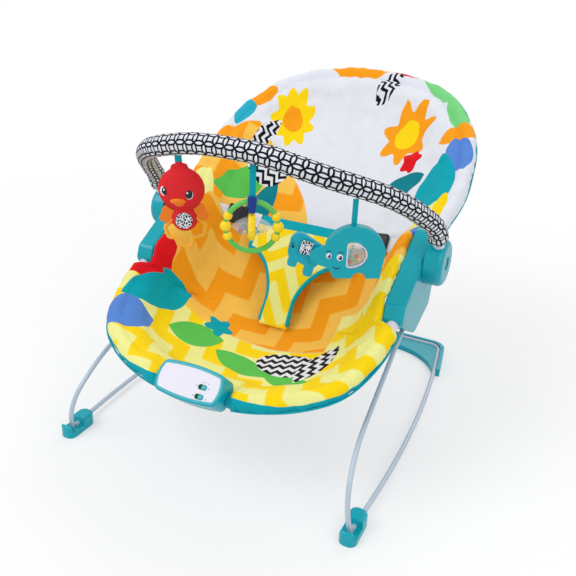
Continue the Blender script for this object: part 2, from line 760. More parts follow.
def settle_cloth(piece: bpy.types.Object, held: list[float], cap: float, sink: float = 0.0015) -> None:
    """Blows a pinned cover up a little with a short cloth simulation.

    Args:
        piece: The cover, which has no other modifiers yet.
        held: How firmly each vertex is pinned, from 0 to 1.
        cap: The furthest that a vertex may move.
        sink: The furthest that it may move inwards.
    """
    group = piece.vertex_groups.new(name="held")
    for index, share in enumerate(held):
        group.add([index], share, "REPLACE")
    made = piece.modifiers.new("Padding", "CLOTH")
    cloth = made.settings
    cloth.quality = 5
    cloth.mass = 0.25
    cloth.tension_stiffness = 14
    cloth.compression_stiffness = 14
    cloth.bending_stiffness = 0.4
    cloth.shrink_min = -0.035
    cloth.use_pressure = True
    cloth.uniform_pressure_force = 4
    cloth.vertex_group_mass = "held"
    cloth.effector_weights.gravity = 0
    made.point_cache.frame_start = 1
    made.point_cache.frame_end = 20
    scene = bpy.context.scene
    for frame_number in range(1, 21):
        scene.frame_set(frame_number)
    settled = piece.evaluated_get(bpy.context.evaluated_depsgraph_get()).to_mesh()
    moved = [vertex.co.copy() for vertex in settled.vertices]
    piece.to_mesh_clear()
    piece.modifiers.remove(made)
    scene.frame_set(1)
    for vertex, spot in zip(piece.data.vertices, moved):
        away = spot - vertex.co
        rise = away.dot(vertex.normal)
        away += vertex.normal * (min(max(rise, -sink), cap) - rise)
        vertex.co += away * min(1.0, cap / max(away.length, 1e-9))
    piece.vertex_groups.remove(group)
    LOG.info("settled %s", piece.name)


def soften(piece: bpy.types.Object, levels: int = 1) -> None:
    """Adds a Subdivision Surface of the same level in view and render."""
    made = piece.modifiers.new("Softened", "SUBSURF")
    made.levels = levels
    made.render_levels = levels


def rounded_route(corners: list[Point], share: float = 0.45, steps: int = 10, closed: bool = False) -> np.ndarray:
    """Rounds the corners of a run of straight lines.

    Args:
        corners: Corner points.
        share: Part of the shorter run that a bend takes up on each side.
        steps: Points in each bend.
        closed: Whether the route joins its own start.

    Returns:
        Points along the rounded route.
    """
    spots = [np.array(corner, float) for corner in corners]
    count = len(spots)
    made = [] if closed else [spots[0]]
    for index in range(count) if closed else range(1, count - 1):
        before, corner, after = spots[index - 1], spots[index], spots[(index + 1) % count]
        reach = share * min(np.linalg.norm(before - corner), np.linalg.norm(after - corner))
        start = corner + (before - corner) / np.linalg.norm(before - corner) * reach
        end = corner + (after - corner) / np.linalg.norm(after - corner) * reach
        for step in range(steps + 1):
            part = step / steps
            made.append((1 - part) ** 2 * start + 2 * part * (1 - part) * corner + part**2 * end)
    if not closed:
        made.append(spots[-1])
    return np.array(made)


def even_points(route: np.ndarray, count: int, closed: bool = False) -> np.ndarray:
    """Spaces points evenly along a route.

    Args:
        route: Points along it.
        count: How many points to give.
        closed: Whether the route joins its own start.

    Returns:
        The evenly spaced points.
    """
    line = np.vstack([route, route[:1]]) if closed else route
    away = np.concatenate([[0.0], np.cumsum(np.linalg.norm(np.diff(line, axis=0), axis=1))])
    spots = np.linspace(0, away[-1], count, endpoint=not closed)
    return np.stack([np.interp(spots, away, line[:, axis]) for axis in range(3)], axis=1)


def sweep_ring(mesh: bmesh.types.BMesh, route: np.ndarray, radii: np.ndarray, sides: int, closed: bool = False) -> None:
    """Carries a ring of vertices along a route and bridges it into a tube.

    Args:
        mesh: The bmesh that takes the tube.
        route: Centre points.
        radii: Radius at each centre point.
        sides: Vertices in the ring.
        closed: Whether the tube joins its own start.
    """
    count = len(route)
    rings = []
    side = None
    for index, centre in enumerate(route):
        ahead = route[(index + 1) % count] if closed else route[min(index + 1, count - 1)]
        behind = route[index - 1] if closed or index else route[0]
        run = Vector(ahead - behind).normalized()
        start = Vector((0, 0, 1)) if side is None else side
        side = (start - start.dot(run) * run).normalized()
        frame = Matrix((side, run.cross(side), run)).transposed().to_4x4()
        frame.translation = Vector(centre)
        made = bmesh.ops.create_circle(mesh, segments=sides, radius=float(radii[index]), matrix=frame)
        edges = {edge for vertex in made["verts"] for edge in vertex.link_edges}
        rings.append(list(edges))
    pairs = list(zip(rings, rings[1:]))
    if closed:
        pairs.append((rings[-1], rings[0]))
    for first, second in pairs:
        bmesh.ops.bridge_loops(mesh, edges=first + second)
    if not closed:
        for ring in (rings[0], rings[-1]):
            bmesh.ops.edgeloop_fill(mesh, edges=ring)
    bmesh.ops.recalc_face_normals(mesh, faces=mesh.faces)


def ease(value: float, low: float, high: float) -> float:
    """Gives 0 below low, 1 above high and an S-curve between them."""
    share = min(1.0, max(0.0, (value - low) / (high - low)))
    return share * share * (3 - 2 * share)


@dataclass
class Placement:
    """Where the build frame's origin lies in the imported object's frame."""

    shift: float

    @classmethod
    def read(cls, joints: list[dict]) -> Placement:
        """Reads the shift from the hinge at the front bends."""
        bounce = next(joint for joint in joints if joint["name"] == "seat_bounce")
        return cls(bounce["pos_m"][1])

    def move(self, mesh: bmesh.types.BMesh) -> None:
        """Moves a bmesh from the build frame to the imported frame."""
        bmesh.ops.translate(mesh, verts=mesh.verts, vec=(0, self.shift, 0))


# ---------------------------------------------------------------- sling cover
@dataclass
class Sling:
    """Padded cover that hangs in the seat hoop and wraps round its tube."""

    place: Placement
    pivot: tuple[float, float] = (0.210, 0.244)
    head_tilt: float = math.radians(31.4)
    front_tilt: float = math.radians(23.6)
    head_reach: float = 0.459
    front_reach: float = 0.2346
    head_half: tuple = (
        (0.204, 0.065),
        (0.207, 0.257),
        (0.225, 0.427),
        (0.213, 0.702),
        (0.150, 0.924),
        (0.052, 1.0),
    )
    front_half: tuple = (
        (0.204, 0.094),
        (0.205, 0.264),
        (0.198, 0.52),
        (0.176, 0.759),
        (0.128, 0.904),
        (0.062, 1.0),
    )
    sag_rows: tuple = (
        (-0.016, 0.150, 0.006),
        (0.040, 0.178, 0.032),
        (0.108, 0.196, 0.066),
        (0.160, 0.202, 0.088),
        (0.210, 0.204, 0.104),
        (0.265, 0.210, 0.094),
        (0.330, 0.216, 0.075),
        (0.420, 0.214, 0.047),
        (0.520, 0.190, 0.018),
        (0.616, 0.160, 0.000),
    )
    hem: float = 0.0134
    hub_face: float = 0.1893
    hub_rise: float = 0.025
    edge_roll: float = 0.006
    thickness: float = 0.0125
    across: int = 96
    along: int = 132
    wraps: int = 16
    start_turn: float = 152.0
    end_turn: float = -150.0
    centre: tuple[float, float] = (0.0, 0.290)
    quilt_line: float = 0.84
    fold_line: float = 0.338
    loop: np.ndarray = field(init=False)
    bearing: np.ndarray = field(init=False)

    def rim_height(self, y: float) -> float:
        """Height of the hoop's centre line over a point of the plan."""
        tilt = self.head_tilt if y > self.pivot[0] else self.front_tilt
        return self.pivot[1] + (y - self.pivot[0]) * math.tan(tilt)

    def trace_rim(self) -> None:
        """Lays the closed line of the hoop's centre and each point's bearing."""
        right = []
        for x, share in reversed(self.front_half):
            run = share * self.front_reach
            right.append((x, self.pivot[0] - run * math.cos(self.front_tilt), self.pivot[1] - run * math.sin(self.front_tilt)))
        for x, share in self.head_half:
            run = share * self.head_reach
            right.append((x, self.pivot[0] + run * math.cos(self.head_tilt), self.pivot[1] + run * math.sin(self.head_tilt)))
        corners = right + [(-x, y, z) for x, y, z in reversed(right)]
        self.loop = even_points(rounded_route(corners, closed=True), 900, closed=True)
        bearing = np.unwrap(np.arctan2(self.loop[:, 1] - self.centre[1], self.loop[:, 0]))
        order = np.argsort(bearing)
        self.loop = self.loop[order]
        self.bearing = bearing[order]

    def rim_at(self, bearing: float) -> tuple[Vector, Vector]:
        """Finds the hoop's centre and its outward direction at a bearing.

        Args:
            bearing: Angle in the plan about the cover's centre.

        Returns:
            The centre point and the unit vector outwards in the hoop's plane.
        """
        turn = 2 * math.pi
        low = self.bearing[0]
        wound = low + (bearing - low) % turn
        spot = np.array([np.interp(wound, self.bearing, self.loop[:, axis], period=turn) for axis in range(3)])
        ahead = np.array([np.interp(wound + 0.02, self.bearing, self.loop[:, axis], period=turn) for axis in range(3)])
        behind = np.array([np.interp(wound - 0.02, self.bearing, self.loop[:, axis], period=turn) for axis in range(3)])
        run = Vector(ahead - behind).normalized()
        up = self.up_at(spot[1])
        return Vector(spot), run.cross(up).normalized()

    def up_at(self, y: float) -> Vector:
        """Gives the normal of the hoop's plane over a point of the plan."""
        tilt = self.front_tilt + (self.head_tilt - self.front_tilt) * ease(y, 0.16, 0.26)
        return Vector((0, -math.sin(tilt), math.cos(tilt)))

    def edge_at(self, bearing: float) -> tuple[Vector, Vector, Vector, float]:
        """Finds the roll that the cover's edge follows at a bearing.

        Args:
            bearing: Angle in the plan about the cover's centre.

        Returns:
            The roll's centre, its outward and upward directions and its radius.
        """
        spot, out = self.rim_at(bearing)
        up = self.up_at(spot.y)
        hub = ease(spot.y, 0.150, 0.1575) * (1 - ease(spot.y, 0.3125, 0.320))
        unit = (1 - ease(abs(spot.x), 0.0485, 0.056)) * (1 - ease(spot.y, 0.03, 0.06))
        radius = self.hem + (self.edge_roll - self.hem) * max(hub, unit)
        side = math.copysign(1.0, spot.x)
        spot.x += hub * (side * (self.hub_face - self.edge_roll) - spot.x)
        spot += up * self.hub_rise * ease(spot.y, 0.150, 0.185) * (1 - ease(spot.y, 0.280, 0.318))
        out = out.lerp(Vector((side, 0, 0)), hub).normalized()
        spot += unit * (Vector((spot.x, 0.013, 0.141)) - spot)
        return spot, out, up, radius

    def sheet_height(self, x: float, y: float) -> float:
        """Height of the sagging sheet's upper side over a point of the plan."""
        rows = self.sag_rows
        half = self.smooth_row(y, 1)
        sag = self.smooth_row(y, 2)
        share = min(abs(x) / half, 1.05)
        bounded = min(max(y, rows[0][0]), rows[-1][0])
        return self.rim_height(bounded) - sag + (0.004 + sag) * share**2.2

    def smooth_row(self, y: float, column: int) -> float:
        """Reads a column of the sag rows at y, on a smooth curve.

        Args:
            y: Place along the seat.
            column: Column of the rows.

        Returns:
            The value there.
        """
        total, weight = 0.0, 0.0
        for offset in (-0.024, -0.012, 0.0, 0.012, 0.024):
            share = 1 - abs(offset) / 0.036
            total += share * float(np.interp(y + offset, [row[0] for row in self.sag_rows], [row[column] for row in self.sag_rows]))
            weight += share
        return total / weight

    def top_point(self, reach: float, bearing: float) -> Vector:
        """Places a point of the upper side.

        Args:
            reach: 0 at the cover's centre and 1 where it meets the hem.
            bearing: Angle in the plan.

        Returns:
            The point in the build frame.
        """
        spot, out, up, radius = self.edge_at(bearing)
        turn = math.radians(self.start_turn)
        edge = spot + radius * (math.cos(turn) * out + math.sin(turn) * up)
        x = edge.x * reach
        y = self.centre[1] + (edge.y - self.centre[1]) * reach
        sheet = self.sheet_height(x, y)
        return Vector((x, y, sheet + (edge.z - sheet) * ease(reach, 0.78, 1.0)))

    def shape(self, x: float, y: float, wrap: float) -> Vector:
        """Places a vertex of the starting can: its lid, wall or base.

        Args:
            x: Place on the unit disc.
            y: Place on the unit disc.
            wrap: 0 on the lid, 1 on the base and the share of the wall between.

        Returns:
            The vertex's place in the build frame.
        """
        reach = min(1.0, math.hypot(x, y))
        bearing = math.atan2(y * 1.42, x)
        if 0 < wrap < 1 or reach > 0.999:
            spot, out, up, radius = self.edge_at(bearing)
            turn = math.radians(self.start_turn + (self.end_turn - self.start_turn) * wrap)
            return spot + radius * (math.cos(turn) * out + math.sin(turn) * up)
        point = self.top_point(reach, bearing)
        if wrap >= 1:
            spot, out, up, radius = self.edge_at(bearing)
            turn = math.radians(self.end_turn)
            edge = spot + radius * (math.cos(turn) * out + math.sin(turn) * up)
            point.z -= self.thickness
            point = point.lerp(edge, ease(reach, 0.80, 1.0))
        return point

    def pucker(self, point: Vector, wrap: float, bearing: float, reach: float) -> float:
        """Gives how far gathers and padding lift the cloth at a vertex.

        Args:
            point: The vertex in the build frame.
            wrap: Its place round the hem.
            bearing: Its angle in the plan.
            reach: Its share of the way to the hem.

        Returns:
            The lift along the normal.
        """
        padding = 0.0026 * noise.noise(point * 13.0) + 0.0012 * noise.noise(point * 36.0)
        folds = noise.noise(Vector((22.0 * bearing, 2.5 * reach, 2.0 * wrap)))
        fine = noise.noise(Vector((47.0 * bearing, 3.0 * reach, 3.0 * wrap + 5)))
        near = ease(reach, 0.70, 0.96)
        seam = math.exp(-(((reach - self.quilt_line) / 0.011) ** 2)) if wrap < 0.001 else 0.0
        crease = math.exp(-(((point.y - self.fold_line) / 0.006) ** 2)) if wrap < 0.001 else 0.0
        lift = padding * (1 - 0.4 * near) + (0.0026 * folds + 0.0012 * fine) * near
        return lift - 0.0030 * max(seam, crease * (1 - near))

    def build(self) -> bpy.types.Object:
        """Makes the cover and its seams.

        Returns:
            The cover.
        """
        self.trace_rim()
        mesh = bmesh.new()
        bmesh.ops.create_grid(mesh, x_segments=self.across, y_segments=self.along, size=1.0)
        for vertex in mesh.verts:
            x, y = vertex.co.x, vertex.co.y
            vertex.co = (x * math.sqrt(1 - y * y / 2), y * math.sqrt(1 - x * x / 2), 0.0)
        lid = list(mesh.faces)
        copied = bmesh.ops.duplicate(mesh, geom=lid)["geom"]
        base = [item for item in copied if isinstance(item, bmesh.types.BMFace)]
        bmesh.ops.translate(mesh, verts=list({v for face in base for v in face.verts}), vec=(0, 0, 1))
        bmesh.ops.reverse_faces(mesh, faces=base)
        rim = [edge for edge in mesh.edges if edge.is_boundary and edge.verts[0].co.z < 0.5]
        for _ in range(self.wraps):
            grown = bmesh.ops.extrude_edge_only(mesh, edges=rim)["geom"]
            lifted = [item for item in grown if isinstance(item, bmesh.types.BMVert)]
            bmesh.ops.translate(mesh, verts=lifted, vec=(0, 0, 1 / self.wraps))
            rim = [item for item in grown if isinstance(item, bmesh.types.BMEdge)]
        bmesh.ops.remove_doubles(mesh, verts=mesh.verts, dist=1e-5)
        layer = mesh.verts.layers.float.new("wrap")
        lifts = []
        held = []
        for vertex in mesh.verts:
            x, y, wrap = vertex.co
            reach, bearing = math.hypot(x, y), math.atan2(y * 1.42, x)
            vertex.co = self.shape(x, y, wrap)
            inner = wrap > 0.99 and reach < 0.999
            vertex[layer] = 1.2 if inner else min(max(wrap, 0.0), 0.98)
            held.append(1.0 if inner or wrap > 0.001 or reach > 0.999 else 0.85 * ease(reach, 0.80, 0.999) ** 2)
            lifts.append(self.pucker(vertex.co, wrap, bearing, min(reach, 1.0)) * (0.4 if inner else 1.0))
        bmesh.ops.recalc_face_normals(mesh, faces=mesh.faces)
        mesh.normal_update()
        for vertex, lift in zip(mesh.verts, lifts):
            vertex.co += vertex.normal * lift
        self.place.move(mesh)
        finish = PrintFinish("printed_cover", Paint.WHITE, 0.82, grain_scale=330, grain_height=0.00022, woven=True, sheen=0.04, shift=self.place.shift)
        cover = new_piece("sling_cover", mesh, finish, "seat")
        settle_cloth(cover, held, 0.007)
        relaxed = cover.modifiers.new("Relaxed", "SMOOTH")
        relaxed.iterations = 2
        relaxed.factor = 0.5
        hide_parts("seat_cover", "head_hem", "front_hem")
        self.build_seam()
        self.build_collars()
        return cover

    def seam_line(self, turn: float, count: int) -> np.ndarray:
        """Gives points on the hem's roll at one turn round it.

        Args:
            turn: Angle round the roll, in degrees.
            count: How many points.

        Returns:
            Points in the build frame.
        """
        made = []
        for index in range(count):
            bearing = 2 * math.pi * index / count
            spot, out, up, radius = self.edge_at(bearing)
            angle = math.radians(turn)
            made.append(spot + (radius + 0.0008) * (math.cos(angle) * out + math.sin(angle) * up))
        return np.array(made)

    def build_seam(self) -> None:
        """Runs a corded piping round the outer side of the hem."""
        route = even_points(self.seam_line(-12.0, 700), 520, closed=True)
        mesh = bmesh.new()
        sweep_ring(mesh, route, np.full(len(route), 0.0014), 8, closed=True)
        self.place.move(mesh)
        piping = new_piece("cover_piping", mesh, PALETTE.trim, "seat")


    def build_collars(self) -> None:
        """Closes the hem in bias tape on both sides of the vibration unit."""
        for side, name in ((-1, "left"), (1, "right")):
            start = np.array([side * 0.0495, *self.rim_front()])
            spots = np.array([start + (side * 0.0013 * step, 0, 0.00002 * step) for step in range(12)])
            mesh = bmesh.new()
            sweep_ring(mesh, spots, np.array([0.0104 + 0.0002 * step for step in range(12)]), 28)
            self.place.move(mesh)
            collar = new_piece(f"{name}_hem_collar", mesh, PALETTE.trim, "seat")

    def rim_front(self) -> tuple[float, float]:
        """Gives the hoop's foremost middle point as its y and z."""
        spot, _ = self.rim_at(-math.pi / 2)
        return spot.y, spot.z


# ---------------------------------------------------------------- crotch panel, straps
@dataclass
class CrotchPanel:
    """Padded panel that lies up the seat between the legs."""

    place: Placement
    foot: tuple[float, float] = (0.205, 0.1452)
    middle: tuple[float, float] = (0.260, 0.2178)
    top: tuple[float, float] = (0.330, 0.277)
    half: float = 0.085
    neck: float = 0.022
    waist: float = 0.237
    thickness: float = 0.006
    across: int = 44
    along: int = 72

    def spine(self, share: float) -> tuple[Vector, Vector]:
        """Finds the panel's middle line and its face normal.

        Args:
            share: 0 at the foot and 1 at the top.

        Returns:
            The point and the normal towards the seated child's front.
        """
        foot, middle, top = (Vector((0, *spot)) for spot in (self.foot, self.middle, self.top))
        bend = 2 * middle - (foot + top) / 2
        point = (1 - share) ** 2 * foot + 2 * share * (1 - share) * bend + share**2 * top
        run = (2 * (1 - share) * (bend - foot) + 2 * share * (top - bend)).normalized()
        return point, Vector((0, -run.z, run.y))

    def half_width(self, height: float) -> float:
        """Gives half the panel's width at a height, with the leg arches."""
        if height >= self.waist:
            return self.half - 0.002 * (self.top[1] - height) / 0.04
        reach = 0.060
        if height <= self.waist - reach:
            return self.neck + 0.002 * (self.waist - reach - height) / 0.04
        share = (self.waist - height) / reach
        return self.neck + (self.half - 0.002 - self.neck) * (1 - math.sqrt(1 - (1 - share) ** 2.3)) ** 0.8

    def build(self) -> bpy.types.Object:
        """Makes the pad, its leg binding and its top seam.

        Returns:
            The pad.
        """
        mesh = bmesh.new()
        bmesh.ops.create_grid(mesh, x_segments=self.across, y_segments=self.along, size=1.0)
        bmesh.ops.solidify(mesh, geom=mesh.faces, thickness=0.4)
        for vertex in mesh.verts:
            side, share = vertex.co.x, (vertex.co.y + 1) / 2
            front = vertex.co.z > -0.2 and vertex.co.z < 0.2
            point, normal = self.spine(share)
            edge = min(1 - abs(side), 8 * min(share, 1 - share))
            crown = 0.5 + 0.5 * ease(edge, 0.0, 0.12)
            quilt = 0.0012 * noise.noise(Vector((side * 3, share * 5, 0.3))) * crown
            depth = self.thickness / 2 * crown + quilt
            middle = point - normal * self.thickness / 2
            vertex.co = middle + normal * (depth if front else -depth)
            vertex.co.x = side * self.half_width(point.z)
        bmesh.ops.recalc_face_normals(mesh, faces=mesh.faces)
        self.place.move(mesh)
        finish = PanelFinish("panel_print", Paint.YELLOW, 0.82, grain_scale=330, grain_height=0.00022, woven=True, sheen=0.04, band_height=self.top[1] - 0.012)
        pad = new_piece("crotch_pad", mesh, finish, "seat")
        soften(pad)
        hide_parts("crotch_panel")
        self.build_binding()
        return pad

    def build_binding(self) -> None:
        """Runs a round binding down both leg arches."""
        for side, name in ((-1, "left"), (1, "right")):
            line = []
            for index in range(60):
                share = 0.03 + 0.80 * index / 59
                point, normal = self.spine(share)
                spot = point - normal * self.thickness / 2
                line.append((side * self.half_width(point.z), spot.y, spot.z))
            route = even_points(np.array(line), 90)
            mesh = bmesh.new()
            sweep_ring(mesh, route, np.full(len(route), 0.0036), 10)
            self.place.move(mesh)
            binding = new_piece(f"{name}_leg_binding", mesh, PALETTE.trim, "seat")


@dataclass
class WaistStraps:
    """Webbing from the panel's corners through the buckles to the cover."""

    place: Placement
    width: float = 0.0245
    thickness: float = 0.0017

    def build(self) -> None:
        """Makes each length of webbing along its solid."""
        for side, sign in (("left", -1), ("right", 1)):
            start = Vector((sign * 0.0854, 0.321, 0.267))
            end = Vector((sign * 0.177, 0.304, 0.281))
            along = (end - start).normalized()
            cross = Vector((0, 0.62, 0.78))
            face = along.cross(cross).normalized()
            if face.z < 0:
                face = -face
            across = face.cross(along).normalized()
            run = (end - start).length
            for index, (low, high) in enumerate(((0.0, 0.028), (0.058, run))):
                mesh = bmesh.new()
                bmesh.ops.create_grid(mesh, x_segments=24, y_segments=8, size=0.5)
                bmesh.ops.solidify(mesh, geom=mesh.faces, thickness=0.05)
                for vertex in mesh.verts:
                    share, wide = vertex.co.x + 0.5, vertex.co.y
                    upper = vertex.co.z >= -0.01
                    lift = 0.0004 * noise.noise(Vector((share * 5, wide, index)))
                    depth = lift + (0.0 if upper else -self.thickness)
                    vertex.co = start + along * (low + (high - low) * share) + across * (wide * self.width) + face * (depth - 0.0001)
                bmesh.ops.recalc_face_normals(mesh, faces=mesh.faces)
                self.place.move(mesh)
                webbing = new_piece(f"{side}_webbing_{index + 1}", mesh, PALETTE.webbing, "seat")
            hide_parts(f"{side}_waist_strap")


# ---------------------------------------------------------------- toy bar
@dataclass
class BarSleeve:
    """Padded knit sleeve, gathered on the toy bar's tube."""

    place: Placement
    axis: tuple[float, float, float] = (0.2345, 0.264, 0.284)
    corners: tuple = ((0.2325, 0.236, 0.345), (0.196, 0.158, 0.400), (0.120, 0.078, 0.438), (0.045, 0.066, 0.456))
    radius: float = 0.0140
    drum_clear: float = 0.038
    tube_radius: float = 0.0062
    along: int = 420
    around: int = 40

    def route(self) -> np.ndarray:
        """Traces the bar's middle line from drum to drum."""
        start = Vector(self.axis)
        first = (Vector(self.corners[0]) - start).normalized()
        right = [tuple(start + first * 0.013), *self.corners]
        corners = right + [(-x, y, z) for x, y, z in reversed(right)]
        line = even_points(rounded_route(corners), 1200)
        keep = [spot for spot in line if math.hypot(spot[1] - self.axis[1], spot[2] - self.axis[2]) > self.drum_clear]
        return even_points(np.array(keep), self.along)

    def girth(self, away: float, turn: float, length: float) -> float:
        """Gives the sleeve's radius, with its gathers.

        Args:
            away: Distance along the bar.
            turn: Angle round it.
            length: Whole length.

        Returns:
            The radius.
        """
        end = min(away, length - away)
        mouth = self.tube_radius + 0.0012 + (self.radius - self.tube_radius - 0.0012) * ease(end, -0.002, 0.009)
        spot = Vector((math.cos(turn), math.sin(turn), away * 85))
        gather = noise.noise(spot) + 0.5 * noise.noise(spot * 2.3)
        bunch = 0.45 + 0.75 * (1 - ease(end, 0.02, 0.09))
        return mouth + 0.0012 * gather * bunch * ease(end, 0.0, 0.006)

    def build(self) -> bpy.types.Object:
        """Makes the sleeve and its sewn seam.

        Returns:
            The sleeve.
        """
        route = self.route()
        run = np.linalg.norm(np.diff(route, axis=0), axis=1)
        away = np.concatenate([[0.0], np.cumsum(run)])
        length = float(away[-1])
        mesh = bmesh.new()
        bmesh.ops.create_grid(mesh, x_segments=self.along - 1, y_segments=self.around, size=0.5)
        around_map = mesh.loops.layers.uv.new("around")
        girth = 2 * math.pi * self.radius
        for face in mesh.faces:
            for loop in face.loops:
                spot = loop.vert.co
                loop[around_map].uv = ((spot.x + 0.5) * length, (spot.y + 0.5) * girth)
        for vertex in mesh.verts:
            index = min(self.along - 1, max(0, round((vertex.co.x + 0.5) * (self.along - 1))))
            turn = 2 * math.pi * (vertex.co.y + 0.5)
            ahead = Vector(route[min(index + 1, self.along - 1)] - route[max(index - 1, 0)]).normalized()
            side = Vector((0, 0.45, 0.89))
            side = (side - side.dot(ahead) * ahead).normalized()
            out = math.cos(turn) * side + math.sin(turn) * ahead.cross(side)
            vertex.co = Vector(route[index]) + out * self.girth(float(away[index]), turn, length)
        bmesh.ops.remove_doubles(mesh, verts=mesh.verts, dist=1e-6)
        bmesh.ops.recalc_face_normals(mesh, faces=mesh.faces)
        self.place.move(mesh)
        sleeve = new_piece("toy_bar_cover", mesh, PALETTE.sleeve, "toy_bar")
        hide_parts("toy_bar_sleeve")
        return sleeve


# ---------------------------------------------------------------- toys
@dataclass
class ToyFrame:
    """Axes of a hanging toy: right, up and out of its face, from its hinge."""

    origin: Vector
    side: Vector
    body: str

    @classmethod
    def read(cls, joints: list[dict], name: str, body: str) -> ToyFrame:
        """Reads a toy's hinge from the joints.

        Args:
            joints: The frame's joints.
            name: Joint name.
            body: Body that hangs from it.

        Returns:
            The toy's frame.
        """
        joint = next(item for item in joints if item["name"] == name)
        return cls(Vector(joint["pos_m"]), Vector(joint["axis"]).normalized(), body)

    def matrix(self, lean: float = 0.0) -> Matrix:
        """Gives the toy's local-to-world matrix, leant in its own face."""
        up = Vector((0, 0, 1))
        turned = Matrix((self.side, up, self.side.cross(up))).transposed().to_4x4()
        return Matrix.Translation(self.origin) @ turned @ Matrix.Rotation(math.radians(lean), 4, "Z")

    def button(self, name: str, spot: Point, size: Point, finish: Finish, slot: str, lean: float = 0.0, turn: float = 0.0) -> bpy.types.Object:
        """Sets a flattened ball on the toy's face.

        Args:
            name: Piece name.
            spot: Its middle in the toy's frame, in millimetres.
            size: Its half sizes, in millimetres.
            finish: Its finish.
            slot: Material slot of the record.
            lean: The toy's own lean, in degrees.
            turn: The button's turn in the face, in degrees.

        Returns:
            The button.
        """
        mesh = bmesh.new()
        shape = Matrix.Rotation(math.radians(turn), 4, "Z") @ Matrix.Diagonal((*(value * MM for value in size), 1.0))
        place = self.matrix(lean) @ Matrix.Translation(Vector(spot) * MM) @ shape
        bmesh.ops.create_uvsphere(mesh, u_segments=28, v_segments=16, radius=1.0, matrix=place)
        made = new_piece(name, mesh, finish, self.body)
        return made

    def cord_line(self, name: str, line: list[Point], radius: float, finish: Finish, slot: str) -> bpy.types.Object:
        """Lays a thin raised line on the toy's face.

        Args:
            name: Piece name.
            line: Points in the toy's frame, in millimetres.
            radius: Its radius, in millimetres.
            finish: Its finish.
            slot: Material slot of the record.

        Returns:
            The line.
        """
        mesh = bmesh.new()
        route = even_points(rounded_route([tuple(value * MM for value in spot) for spot in line]), 22)
        taper = np.array([radius * MM * (0.35 + 0.65 * math.sin(math.pi * (index + 1) / 23)) for index in range(22)])
        sweep_ring(mesh, route, taper, 8)
        bmesh.ops.transform(mesh, matrix=self.matrix(), verts=mesh.verts)
        made = new_piece(name, mesh, finish, self.body)
        return made


@dataclass
class Bird:
    """Stuffed bird with a vinyl skin, big eyes, a beak and a belly patch."""

    frame: ToyFrame
    lean: float = 5.0
    head: Point = (0.0, -45.0, 0.0)
    head_size: Point = (30.5, 30.0, 11.6)
    belly: Point = (0.0, -86.0, 0.0)
    belly_size: Point = (17.2, 17.4, 8.4)
    tufts: tuple = ((-6.5, -15.5, 5.0), (0.0, -12.8, 5.4), (6.5, -15.5, 5.0))

    def build(self) -> bpy.types.Object:
        """Makes the skin and everything sewn to it.

        Returns:
            The skin.
        """
        mesh = bmesh.new()
        place = self.frame.matrix(self.lean)
        lumps = [(self.head, self.head_size), (self.belly, self.belly_size), ((0, -68, 0), (12.0, 12.0, 7.0))]
        lumps += [((x, y, 0.0), (size, size, size * 0.85)) for x, y, size in self.tufts]
        for spot, size in lumps:
            matrix = place @ Matrix.Translation(Vector(spot) * MM) @ Matrix.Diagonal((*(value * MM for value in size), 1.0))
            bmesh.ops.create_uvsphere(mesh, u_segments=48, v_segments=32, radius=1.0, matrix=matrix)
        skin = new_piece("bird_skin", mesh, PALETTE.red, "bird_toy")
        fused = skin.modifiers.new("Sewn", "REMESH")
        fused.mode = "VOXEL"
        fused.voxel_size = 0.0011
        fused.use_smooth_shade = True
        smooth = skin.modifiers.new("Stuffed", "SMOOTH")
        smooth.iterations = 12
        smooth.factor = 0.6
        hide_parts("bird_body")
        self.build_face()
        return skin

    def build_face(self) -> None:
        """Sews on the eyes, the beak and the side seam."""
        x, y, _ = self.head
        for name, dx, dy, depth, turn in (("left", -20.5, 0.5, 6.2, 8), ("right", 9.5, -5.0, 8.9, -6)):
            spot = (x + dx, y + dy, depth)
            self.frame.button(f"bird_{name}_eye_white", spot, (6.4, 7.6, 2.6), PALETTE.white, "spot_disc", self.lean, turn)
            inner = (spot[0] + 0.5, spot[1] + 0.2, depth + 1.3)
            self.frame.button(f"bird_{name}_pupil", inner, (4.9, 6.1, 2.0), PALETTE.black, "black_plastic", self.lean, turn)
            glint = (inner[0] - 1.4, inner[1] + 2.3, depth + 2.9)
            self.frame.button(f"bird_{name}_glint", glint, (1.3, 1.6, 0.7), PALETTE.white, "spot_disc", self.lean)
        beak = (x - 5.0, y - 13.5, 8.6)
        self.frame.button("bird_beak_upper", beak, (10.5, 4.6, 4.8), PALETTE.orange, "orange_vinyl", self.lean, -4)
        lower = (beak[0] + 1.0, beak[1] - 3.6, 8.0)
        self.frame.button("bird_beak_lower", lower, (6.8, 4.0, 3.8), PALETTE.orange, "orange_vinyl", self.lean, -4)


@dataclass
class RattleBalls:
    """Loose coloured balls that stand for a rattle's CAD node."""

    frame: ToyFrame
    node: str
    radius: float
    spots: tuple
    finishes: tuple

    def build(self) -> None:
        """Makes a ball of its own colour at each place."""
        for index, (spot, finish) in enumerate(zip(self.spots, self.finishes)):
            size = (self.radius, self.radius, self.radius)
            ball = self.frame.button(f"{self.node}_{index + 1}", spot, size, finish, "bead_plastic")
            if index == 0:
                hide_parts(self.node)


